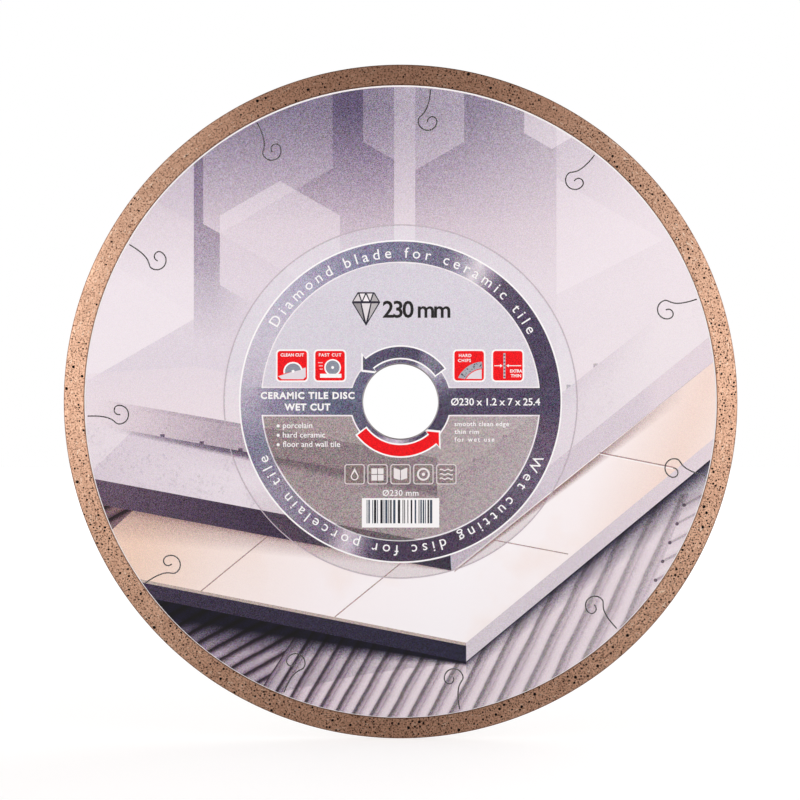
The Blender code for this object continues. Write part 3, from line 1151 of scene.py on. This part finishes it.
def tile_layers():
    """Beige tiles that pale to the right, with their joints, edges and shadows."""
    top = ((-95, 238, 208, 190), (-60, 246, 232, 228), (-24, 250, 244, 247), (20, 251, 249, 253))
    top += ((52, 250, 244, 246), (78, 242, 220, 211), (95, 249, 236, 231))
    outline = [(-91.4, BASE(-91.4)), (17.6, -57.8), (EDGE, DROP(EDGE)), (EDGE, SIDE_TOP(EDGE))]
    outline += [(TILE_CORNER, -82.4), (-EDGE, BROW(-EDGE)), (-EDGE, TILE_LEFT(-EDGE))]
    layers = tile_shade()
    layers += solid("print_tiles", lambda x, z: ramp(top, x - 0.4 * (z + 60)), outline)

    brown = (136, 104, 104)
    base_stops = ((0.0, 0.7), (2.0, 0.36), (8.0, 0.0))
    layers += shadow(BASE, -106, 17.6, base_stops, brown, stretch=lambda x: 0.03 + (17.6 - x) / 80)
    drop_stops = ((0.0, 0.98), (1.2, 0.66), (3.2, 0.0))
    drop_fade = lambda x: clamp((98 - x) / 40)
    layers += shadow(DROP, 18.4, EDGE, drop_stops, brown, drop_fade, lambda x: 0.2 + (x - 18.4) / 50)

    joints = [stroke((-45.3, -46.0), (-68.2, -64.8), 0.36), stroke((0.1, -55.2), (-22.4, -73.5), 0.36)]
    joints += [stroke((-22.4, -73.5), (-22.4, -74.8), 0.36), stroke((31.8, -47.3), (57.2, -52.1), 0.34)]
    joints.append(stroke((67.9, -17.5), (93.2, -22.5), 0.40))
    layers += [Layer(joint, (142, 108, 108), 0.8) for joint in joints]
    layers.append(Layer(stroke((68.2, -18.0), (93.2, -23.0), 0.4), (255, 252, 252), 0.8))

    low_brow = below(BROW, 1.0)
    face_paint = across((-90, 58, 48, 70), (20, 36, 34, 56))
    side_paint = across((22, 213, 205, 215), (60, 212, 203, 213), (105, 226, 214, 222))
    under_side = stroke((TILE_CORNER, SIDE_LOW(TILE_CORNER)), (EDGE, SIDE_LOW(EDGE)), 0.3)
    layers += solid("print_edges", (188, 172, 166), between(BROW, low_brow, -EDGE, TILE_CORNER))
    layers += solid("print_edges", face_paint, between(low_brow, CHIN, -EDGE, TILE_CORNER))
    layers += solid("print_edges", side_paint, between(SIDE_TOP, SIDE_LOW, TILE_CORNER, EDGE))
    layers.append(Layer(under_side, SHADE, 0.8))
    return layers


def picture_layers():
    """The printed picture, back to front: hexagon panels above, stacked tiles on combed ridges."""
    layers = solid("print_backdrop", backdrop, circle(EDGE))
    return layers + hexagon_panels() + combed_ground() + upper_slab() + second_slab() + tile_layers()


# ---------------------------------------------------------------- printed coat

# How the inks of some groups are shaped; the others are printed flat.
PRINT_SHAPES = {
    "print_slabs": stone_shape,
    "print_tiles": tile_shape,
    "print_ridges_left": ridge_shape(straight_ridges(LEFT_ANGLE, LEFT_PITCH), LEFT_PROFILE),
    "print_ridges_middle": ridge_shape(fanned_ridges, MIDDLE_PROFILE),
    "print_ridges_right": ridge_shape(
        straight_ridges(RIGHT_ANGLE, RIGHT_PITCH, RIGHT_OFFSET), RIGHT_PROFILE
    ),
}
# The picture's centre on the blade, its radius, and how far it stays off the slots.
REGISTER = (0.0, -0.2)
ART = CORE - 0.4
SLOT_MARGIN = 0.04
# The white base coat's bore, how far it stays off the core's edge, and how far its front lies
# behind the picture's.
COAT_BORE = 13.3
COAT_MARGIN = 0.04
COAT_RECESS = 0.012


def build_print(layers):
    """The white base coat, and the picture printed over it a trace low."""
    bore = circle(COAT_BORE)
    vertices, triangles = region(circle(CORE - COAT_MARGIN), [bore] + slot_outlines(KERF))
    white = plain_ink("base_coat_white", (246, 244, 246), 0.45, 0.25)
    thickness = COAT_BACK - COAT_FRONT - COAT_RECESS
    base = closed_sheet("print_base_coat", vertices, triangles, COAT_BACK - thickness, thickness, white)
    fit_on(base, "face_print")
    holes = [bore] + slot_outlines(KERF + SLOT_MARGIN)
    vertices, groups = painted(layers, circle(ART, REGISTER), holes, 4.0)
    for name in sorted(groups):
        triangles, colours = groups[name]
        ink = ink_material(name + "_ink", 0.42, PRINT_SHAPES.get(name))
        piece = closed_sheet(name, vertices, triangles, COAT_FRONT, INK, ink, colours)
        fit_on(piece, "face_print")


# ---------------------------------------------------------------- label

WHITE = (250, 250, 252)
RED = (238, 8, 22)
DEEP_GREY = (72, 68, 92)
SYMBOL_GREY = (140, 146, 160)
SYMBOL_PALE = (226, 220, 228)

# The ring's radii, half the bar's height, the hub's radius, and the white lines' half width.
RING_OUT = 54.9
RING_IN = 47.45
BAR = 4.85
HUB = 17.3
LINE = 0.27

# The arrows' radii.
BAND_IN = 14.9
BAND_OUT = 18.7


def steel_ring_paint(x, z):
    """A turned-metal sheen: two sharp flashes on a grey that changes round the ring."""
    stops = ((0, 76, 66, 90), (30, 76, 68, 92), (49, 92, 82, 105), (56, 176, 168, 184), (60, 226, 220, 228))
    stops += ((64, 176, 170, 188), (72, 114, 111, 134), (105, 132, 132, 158), (132, 180, 175, 198))
    stops += ((155, 202, 197, 212), (170, 196, 189, 205), (182, 172, 166, 186), (198, 126, 124, 148))
    stops += ((215, 148, 140, 160), (228, 138, 128, 150), (241, 112, 100, 122), (248, 206, 194, 208))
    stops += ((251, 196, 186, 202), (258, 92, 82, 106), (264, 70, 58, 80), (290, 74, 62, 84))
    stops += ((325, 102, 92, 114), (345, 102, 88, 110), (360, 76, 66, 90))
    return ramp(stops, math.degrees(math.atan2(z, x)) % 360)


def hub_paint(x, z):
    """The same sheen round the hub."""
    stops = ((0, 80, 74, 97), (22, 122, 118, 140), (50, 206, 202, 216), (62, 190, 186, 202))
    stops += ((70, 98, 92, 114), (125, 112, 110, 134), (180, 100, 102, 128), (236, 100, 92, 112))
    stops += ((250, 176, 166, 186), (266, 206, 196, 212), (280, 140, 130, 150), (300, 76, 68, 92))
    stops += ((360, 80, 74, 97),)
    return ramp(stops, math.degrees(math.atan2(z, x)) % 360)


def arrow_paint(x, z):
    return mix(hub_paint(x, z), DEEP_GREY, 0.6)


bar_paint = across((-47, 146, 141, 164), (-20, 98, 100, 126), (20, 84, 76, 100), (47, 80, 72, 96))
# The lower panel's ink, darker at the left.
taupe_paint = across((-40, 128, 112, 112), (0, 136, 122, 122), (40, 158, 146, 148))


def panel(sign, grow=0.0):
    """Half of the label's inside, above the bar (+1) or below it (-1)."""
    outer = RING_IN + grow
    edge = BAR - grow
    hub = HUB - grow
    wide = math.degrees(math.asin(edge / outer))
    tight = math.degrees(math.asin(edge / hub))
    points = arc(outer, wide, 180 - wide, 90) + arc(hub, 180 - tight, tight, 50)
    return points if sign > 0 else [(x, -z) for x, z in points[::-1]]


def arrow(start, end, grow=0.0):
    """A curved arrow round the bore, counter-clockwise from one angle to another."""
    head = 10.5
    spread = math.degrees(grow / BAND_OUT)
    inner = BAND_IN - grow
    outer = BAND_OUT + grow
    neck = end - head - spread * 0.4
    barb = 1.55 + grow * 1.1
    turn = math.radians(end + spread * 1.7)
    middle = (BAND_IN + BAND_OUT) / 2
    points = arc(outer, start - spread, neck, 60) + arc(outer + barb, neck, neck, 1)[:1]
    points += [(middle * math.cos(turn), middle * math.sin(turn))] + arc(inner - barb, neck, neck, 1)[:1]
    return points + arc(inner, neck, start - spread, 60)


def shifted(layers, dx, dz):
    """Moves layers that were drawn round their own centre."""
    for layer in layers:
        layer.outline = [(x + dx, z + dz) for x, z in layer.outline]
    return layers


# The four red squares, each symbol drawn round its square's centre.
ICON_SIZE = 10.1
ICON_BORDER = 0.55
ICON_HEIGHT = 12.2


def symbol_rim():
    """A blade's edge over a sloping slab."""
    slab = [(-4.8, -3.6), (4.6, -0.6), (4.6, -3.8), (3.8, -4.6), (-3.6, -4.6)]
    layers = solid("label_white", SYMBOL_PALE, slab)
    layers += solid("label_white", WHITE, arc(3.3, 12, 192, 30, (0.3, -2.0)))
    layers += solid("label_grey", SYMBOL_GREY, arc(2.75, 12, 192, 30, (0.3, -2.0)))
    return layers + solid("label_white", WHITE, circle(0.5, (0.3, -1.9), 20))


def symbol_cut():
    """A blade on a slab, with three speed lines."""
    centre = (0.9, -0.6)
    layers = solid("label_white", WHITE, circle(2.85, centre, 48))
    layers += solid("label_grey", SYMBOL_GREY, circle(2.35, centre, 48))
    layers += solid("label_white", WHITE, circle(0.5, centre, 20), box(-3.4, -4.1, 3.9, -2.75))
    for i in range(3):
        line = box(-4.1 + 0.3 * i, 0.9 - 1.1 * i, -2.5, 1.2 - 1.1 * i)
        layers.append(Layer(line, WHITE, 0.8, "label_white"))
    return layers


def symbol_chips():
    """A stretch of rim with dark chips in it."""
    centre = (4.9, -8.2)
    rim = arc(9.6, 93, 155, 16, centre) + arc(7.3, 150, 93, 12, centre)
    core = arc(7.0, 95, 148, 12, centre) + [(4.3, -4.5)]
    layers = solid("label_grey", (168, 172, 182), rim) + solid("label_white", SYMBOL_PALE, core)
    draw = random.Random(5)
    for _ in range(26):
        turn = math.radians(draw.uniform(95, 147))
        reach = draw.uniform(7.6, 9.3)
        spot = (centre[0] + reach * math.cos(turn), centre[1] + reach * math.sin(turn))
        layers += solid("label_dark", (40, 40, 48), circle(draw.uniform(0.12, 0.26), spot, 6))
    return layers


def symbol_thin():
    """A blade seen edge on, between two arrows."""
    layers = solid("label_grey", (190, 194, 202), box(-1.5, -4.3, -0.8, 4.3))
    for i in range(7):
        low = -3.9 + 1.2 * i
        layers += solid("label_dark", (96, 98, 112), box(-1.42, low, -0.88, low + 0.5))
    shafts = (box(-4.6, -0.14, -2.1, 0.14), box(-0.2, -0.14, 4.6, 0.14))
    heads = ([(-2.6, -0.55), (-1.75, 0), (-2.6, 0.55)], [(0.3, 0.55), (-0.55, 0), (0.3, -0.55)])
    return layers + solid("label_white", WHITE, *shafts, *heads)


def icon_layers(cx, symbol):
    """A red square with a plain cutting symbol in it."""
    border = ICON_SIZE + 2 * ICON_BORDER
    square = solid("label_white", WHITE, rounded_square(border, 1.5))
    square += solid("label_red", RED, rounded_square(ICON_SIZE, 1.0))
    return shifted(square + symbol(), cx, ICON_HEIGHT)


ICONS = ((-37.0, symbol_rim), (-24.1, symbol_cut), (23.4, symbol_chips), (36.6, symbol_thin))


# The five line symbols, each drawn round its square's centre.
PICTOGRAM_FIRST = -15.7
PICTOGRAM_PITCH = 7.83
PICTOGRAM_HEIGHT = -24.85
PICTOGRAM_BORDER = 6.9
PICTOGRAM_SIZE = 6.25


def pictograms():
    """A drop, four tiles, a booklet, a disc and waves."""
    pale = lambda *outlines: solid("label_white", (236, 232, 234), *outlines)
    veil = lambda outline: solid("label_panels", taupe_paint, outline)
    drop = pale(arc(1.35, -215, 35, 20, (0, -0.75)) + [(0, 2.15)])
    drop += veil(arc(0.95, -205, 25, 16, (0, -0.75)) + [(0, 0.95)])
    starts = [(-2.1 + 2.2 * column, -2.15 + 2.2 * row) for row in range(2) for column in range(2)]
    tiles = pale(*(box(x, z, x + 1.95, z + 1.95) for x, z in starts))
    page = [(0.15, -2.05), (2.3, -1.35), (2.3, 2.25), (0.15, 1.45)]
    book = pale(page, [(-x, z) for x, z in page])
    disc = pale(circle(2.2, count=32)) + veil(circle(1.55, count=28)) + pale(circle(0.6, count=16))
    waves = []
    for row in range(3):
        low = [(-2.3 + 0.46 * i, -1.72 + 1.5 * row + 0.25 * math.sin(i * 1.26)) for i in range(11)]
        waves += pale(low + [(x, z + 0.42) for x, z in low[::-1]])
    return drop, tiles, book, disc, waves


def pictogram_layers():
    """Five plain outlined squares under the hub."""
    layers = []
    for i, symbol in enumerate(pictograms()):
        square = solid("label_white", (226, 220, 222), rounded_square(PICTOGRAM_BORDER, 0.9))
        square += solid("label_panels", taupe_paint, rounded_square(PICTOGRAM_SIZE, 0.65))
        layers += shifted(square + symbol, PICTOGRAM_FIRST + PICTOGRAM_PITCH * i, PICTOGRAM_HEIGHT)
    return layers


def bars_layers():
    """A white field with plain upright bars in it."""
    layers = solid("label_white", WHITE, box(-13.2, -43.05, 13.2, -33.0))
    draw = random.Random(3)
    x = -11.6
    while x < 11.4:
        width = draw.choice((0.3, 0.3, 0.55, 0.8))
        shade = draw.choice(((22, 24, 36), (22, 24, 36), (64, 78, 96)))
        layers += solid("label_dark", shade, box(x, -41.6, x + width, -33.6))
        x += width + draw.choice((0.28, 0.28, 0.5, 0.8))
    return layers


def gem_layers():
    """A plain cut-stone outline with facets."""
    cx = -11.8
    cz = 32.0
    wide = 0.87
    tall = 1.15
    stone = lambda corners: [(cx + wide * x, cz + tall * z) for x, z in corners]
    whole = stone(((0, -5.4), (5.6, 1.6), (3.3, 4.6), (-3.3, 4.6), (-5.6, 1.6)))
    layers = solid("label_dark", (46, 44, 58), whole)
    facets = (
        (214, (-4.9, 1.95), (-3.05, 4.15), (-2.05, 1.95)),
        (238, (-2.5, 4.2), (-1.6, 2.1), (-0.4, 4.2)),
        (228, (0.4, 4.2), (1.6, 2.1), (2.5, 4.2)),
        (176, (4.9, 1.95), (3.05, 4.15), (2.05, 1.95)),
        (246, (-1.2, 1.95), (0.0, 3.9), (1.2, 1.95)),
        (150, (-4.8, 1.3), (-2.2, 1.3), (-0.9, -3.7)),
        (226, (-1.7, 1.3), (1.7, 1.3), (0.0, -4.3)),
        (184, (4.8, 1.3), (2.2, 1.3), (0.9, -3.7)),
    )
    for shade, *corners in facets:
        layers += solid("label_white", (shade, shade * 0.98, shade), stone(corners))
    return layers


def inside_panels(cover):
    """A layer's cover, kept only inside the label's two panels."""

    def kept(x, z):
        inside = HUB - 0.05 < math.hypot(x, z) < RING_IN + 0.05 and abs(z) > BAR - 0.05
        return cover(x, z) if inside else 0.0

    return kept


def label_layers(picture):
    """The label's own print over the picture that shows through its clear film."""
    for layer in picture:
        layer.group = "label_panels"
    # Painted shade: a darker line just inside the film's edge.
    film_edge_shade = lambda x, z: 0.5 if math.hypot(x, z) > LABEL - 0.45 else 0.0
    left_bar = [(1 - RING_OUT, BAR), (1 - RING_OUT, -BAR), (1.5 - HUB, -BAR), (1.5 - HUB, BAR)]
    right_bar = [(HUB - 1.5, BAR), (HUB - 1.5, -BAR), (RING_OUT - 1, -BAR), (RING_OUT - 1, BAR)]
    whole = circle(LABEL)
    layers = picture + [
        Layer(whole, (222, 224, 233), lambda x, z: 0.36 * clamp((z + 12) / 24), "label_panels"),
        Layer(whole, (150, 130, 135), lambda x, z: 0.25 * clamp((-28 - z) / 14)),
        Layer(whole, (150, 138, 152), film_edge_shade),
        # Covers nothing, but gives the painted shade line at the film's edge its inner outline.
        Layer(circle(LABEL - 0.62), WHITE, 0.0),
    ]
    layers += solid("label_white", WHITE, circle(RING_OUT + LINE))
    layers += solid("label_metal", steel_ring_paint, circle(RING_OUT - LINE))
    layers.append(Layer(left_bar, bar_paint, lambda x, z: clamp((x + 52) / 7), "label_metal"))
    layers += solid("label_metal", bar_paint, right_bar)
    layers += solid("label_metal", hub_paint, circle(HUB + 2.0))
    for sign in (1, -1):
        layers += solid("label_white", WHITE, panel(sign, LINE))
        layers += solid("label_panels", PANEL_WHITE, panel(sign, -LINE))
    # What the panels show: the picture again, faint above and veiled by taupe below.
    layers += [Layer(source.outline, source.paint, inside_panels(source.cover)) for source in picture]
    layers.append(Layer(panel(1, -LINE), (210, 209, 221), 0.72))
    layers.append(Layer(panel(-1, -LINE), taupe_paint, 0.68))
    for start, end, group, paint in ((37, 140, "label_metal", arrow_paint), (218, 321, "label_red", RED)):
        layers += solid("label_white", WHITE, arrow(start, end, LINE * 2))
        layers += solid(group, paint, arrow(start, end))
    for cx, symbol in ICONS:
        layers += icon_layers(cx, symbol)
    return layers + pictogram_layers() + bars_layers() + gem_layers()


# Bores of the film and of its inks, how far the inks stay off the film's edge, and how far the
# film's front and the inks' front lie behind the lettering's.
FILM_BORE = 13.1
INK_BORE = 13.15
INK_MARGIN = 0.28
FILM_RECESS = 0.03
INK_RECESS = 0.016

# The roughness and grain of some of the label's inks, and of the others.
LABEL_FINISHES = {"label_metal": (0.3, 1.0), "label_panels": (0.34, 1.0), "label_white": (0.34, 0.2)}
LABEL_FINISH = (0.34, 0.35)


def clear_film():
    """The film itself, which shows only at its edges."""
    nodes = surface("film_clear", 0.25)
    veil = nodes.range(nodes.noise(300.0, 3.0), 0.3, 0.7, 0.0, 0.4)
    nodes.set("Base Color", nodes.blend(veil, linear(204, 192, 202), linear(180, 168, 178)))
    return nodes.owner


def build_label(picture):
    """The film, and its inks: panels, metallic grey, white, red, grey and dark."""
    vertices, triangles = region(circle(LABEL), [circle(FILM_BORE)])
    thickness = LABEL_BACK - LABEL_FRONT - FILM_RECESS
    film = closed_sheet("label_film", vertices, triangles, LABEL_BACK - thickness, thickness, clear_film())
    fit_on(film, "centre_label")
    sheet = circle(LABEL - INK_MARGIN)
    vertices, groups = painted(label_layers(picture), sheet, [circle(INK_BORE)], 3.0)
    for name in sorted(groups):
        triangles, colours = groups[name]
        roughness, grain = LABEL_FINISHES.get(name, LABEL_FINISH)
        ink = ink_material(name + "_ink", roughness, None, grain)
        piece = closed_sheet(name, vertices, triangles, LABEL_FRONT + INK_RECESS, INK, ink, colours)
        fit_on(piece, "centre_label")


# ---------------------------------------------------------------- lettering: plain words and sizes


def text_shape(text, height, spacing=1.0, bold=0.0):
    """A line of text, centred on x = 0 with its feet on z = 0, in millimetres."""
    curve = bpy.data.curves.new("line", "FONT")
    curve.body = text
    curve.size = height / 0.72
    curve.space_character = spacing
    curve.offset = bold
    curve.align_x = "CENTER"
    curve.resolution_u = 3
    holder = bpy.data.objects.new("line", curve)
    mesh = bpy.data.meshes.new_from_object(holder)
    vertices = [(v.co.x, v.co.y) for v in mesh.vertices]
    polygons = []
    for polygon in mesh.polygons:
        p = list(polygon.vertices)
        polygons.append(p if signed_area([vertices[i] for i in p]) > 0 else p[::-1])
    bpy.data.objects.remove(holder)
    bpy.data.meshes.remove(mesh)
    bpy.data.curves.remove(curve)
    return vertices, polygons


def fitted(text, height, width, bold=0.0):
    """A line of text with its letters spread, or drawn in, towards this width."""
    xs = [v[0] for v in text_shape(text, height, 1.0, bold)[0]]
    return text_shape(text, height, width / (max(xs) - min(xs)), bold)


def moved(shape, dx, dz):
    vertices, polygons = shape
    return [(x + dx, z + dz) for x, z in vertices], polygons


def left_at(shape, x, z):
    return moved(shape, x - min(v[0] for v in shape[0]), z)


def bent(shape, radius, middle):
    """Text along a circle, its tops outwards, centred on an angle in degrees."""
    vertices, polygons = shape
    placed = []
    for x, z in vertices:
        turn = math.radians(middle) - x / radius
        placed.append(((radius + z) * math.cos(turn), (radius + z) * math.sin(turn)))
    return placed, polygons


# Radius that the ring's words stand on.
RING_WORDS = 49.1

# Lines in white: words, cap height, width, boldness, centre and foot.
LINES = (
    ("CERAMIC TILE DISC", 2.3, 32.5, 0.13, -31.75, 0.95),
    ("WET CUT", 2.3, 16.4, 0.13, -31.75, -3.0),
    ("Ø230 x 1.2 x 7 x 25.4", 2.5, 30.5, 0.06, 32.4, -1.3),
    ("CLEAN CUT", 1.05, 8.0, 0.04, -37.0, 15.4),
    ("FAST CUT", 1.05, 8.0, 0.04, -24.1, 15.4),
    ("HARD", 1.05, 4.6, 0.04, 22.0, 15.2),
    ("CHIPS", 1.05, 4.6, 0.04, 21.8, 13.5),
    ("EXTRA", 1.05, 4.0, 0.04, 39.4, 9.9),
    ("THIN", 1.05, 3.6, 0.04, 39.4, 8.3),
)


def build_lettering():
    """Generic words and sizes in white and dark ink on the label."""
    lines = [
        bent(fitted("Diamond blade for ceramic tile", 3.7, 98.5, 0.02), RING_WORDS, 88.5),
        bent(fitted("Wet cutting disc for porcelain tile", 3.7, 108.0, 0.02), RING_WORDS, 270),
        moved(text_shape("Ø230 mm", 2.1, 1.05, 0.02), 0.0, -32.2),
    ]
    for words, height, width, bold, x, z in LINES:
        lines.append(moved(fitted(words, height, width, bold), x, z))
    for i, words in enumerate(("porcelain", "hard ceramic", "floor and wall tile")):
        z = -9.1 - 3.2 * i
        lines.append(left_at(text_shape(words, 2.0, 1.0, 0.02), -40.2, z))
        lines.append(region(circle(0.55, (-41.8, z + 0.75), 18)))
    notes = (("smooth clean edge", 18.5), ("thin rim", 8.2), ("for wet use", 13.4))
    for i, (words, width) in enumerate(notes):
        lines.append(left_at(fitted(words, 1.6, width, 0.03), 18.4, -8.4 - 2.65 * i))
    size_mark = moved(fitted("230 mm", 5.8, 22.1, 0.14), 5.55, 28.7)
    white = plain_ink("lettering_white_ink", WHITE, 0.36, 0.15)
    dark = plain_ink("lettering_dark_ink", (9, 8, 11), 0.36, 0.3)
    for name, shape, ink in (("label_lettering", joined(lines), white), ("label_size_mark", size_mark, dark)):
        vertices, polygons = shape
        fit_on(closed_sheet(name, vertices, polygons, LABEL_FRONT, INK, ink), "centre_label")


# ---------------------------------------------------------------- stage, light and camera

# The floor reaches out to the horizon. Its glow hides its far edge, and it is brighter to the
# camera than to reflections and shade.
FLOOR_REACH = 3000.0
FLOOR_WARM = (1.0, 0.88, 0.83)
LIGHT_WHITE = (1.0, 1.0, 1.0)

# The room's light: how much comes from everywhere and from the sides, and its tint away from them.
ROOM_DIM = 0.10
ROOM_SIDES = 2.8
ROOM_WARM = (1.0, 0.64, 0.53)

# The camera: the share of the frame that the disc fills, and the lens and sensor in millimetres.
FRAME_SHARE = 0.8415
LENS = 100.0
SENSOR = 36.0


def build_stage():
    """A pale floor that runs into the white of the room, with a soft shadow under the blade."""
    floor = surface("floor_pale", 0.7)
    place = floor.place()
    cloudy = floor.range(floor.noise(3.0, 2.0), 0.3, 0.7)
    floor.set("Base Color", floor.blend(cloudy, (0.30, 0.30, 0.30), (0.32, 0.32, 0.32)))
    floor.set("Emission Color", floor.blend(floor.camera_only(1.0, 0.0), FLOOR_WARM, LIGHT_WHITE))
    distance = floor.node("ShaderNodeVectorMath", Vector=place)
    distance.operation = "LENGTH"
    glow = floor.range(distance.outputs["Value"], 0.15, 1.2, 0.66, 0.84)
    x = floor.split(place)["X"]
    square = floor.math("MULTIPLY", x, x)
    sides = floor.math("DIVIDE", square, floor.math("ADD", square, 0.4))
    bounce = floor.math("ADD", floor.math("MULTIPLY", sides, 1.3), 0.12)
    floor.set("Emission Strength", floor.camera_only(glow, bounce))
    corners = [(-1, -1), (1, -1), (1, 1), (-1, 1)]
    vertices = [(x * FLOOR_REACH, y * FLOOR_REACH, -OUTER) for x, y in corners]
    new_object("floor", vertices, [[0, 1, 2, 3]], [floor.owner])


def softbox(name, place, width, height, power):
    """A rectangular light that points at the blade's centre."""
    light = bpy.data.lights.new(name, "AREA")
    light.shape = "RECTANGLE"
    light.size = width
    light.size_y = height
    light.energy = power
    obj = bpy.data.objects.new(name, light)
    obj.location = place
    obj.rotation_euler = (-Vector(place)).to_track_quat("-Z", "Y").to_euler()
    bpy.context.scene.collection.objects.link(obj)


def build_lights():
    """A pale room whose light comes from its left and right, with a softbox on each side."""
    softbox("softbox_left", (-0.95, -0.75, 0.15), 0.5, 0.9, 1.2)
    softbox("softbox_right", (0.95, -0.75, 0.15), 0.5, 0.9, 1.2)
    softbox("softbox_back", (0.7, 0.9, 0.5), 0.7, 0.7, 3.0)
    world = bpy.data.worlds.new("pale_room")
    bpy.context.scene.world = world
    room = Nodes(world, "Background")
    split = room.split(room.place("Generated"))
    sideways = room.math("MULTIPLY", split["X"], split["X"])
    upright = room.math("MULTIPLY", room.math("MULTIPLY", split["Z"], split["Z"]), 0.72)
    both = room.math("ADD", room.math("ADD", sideways, upright), 0.12)
    sides = room.math("MULTIPLY", room.math("DIVIDE", sideways, both), ROOM_SIDES)
    room.set("Strength", room.camera_only(1.0, room.math("ADD", sides, ROOM_DIM)))
    room.set("Color", room.blend(room.camera_only(1.0, sides), ROOM_WARM, LIGHT_WHITE))


def build_camera():
    """Square to the printed face, a trace off the bore's axis, as in the photograph."""
    camera = bpy.data.cameras.new("camera")
    camera.lens = LENS
    camera.sensor_width = SENSOR
    distance = 2 * OUTER * MM / FRAME_SHARE * LENS / SENSOR
    obj = bpy.data.objects.new("camera", camera)
    obj.location = (-0.0002, -distance, 0.0005)
    obj.rotation_euler = (math.pi / 2, 0.0, 0.0)
    bpy.context.scene.collection.objects.link(obj)
    bpy.context.scene.camera = obj
    bpy.context.scene.view_settings.view_transform = "Standard"


build_camera()
build_lights()
build_stage()
build_rim()
build_core()
build_print(picture_layers())
build_label(picture_layers())
build_lettering()
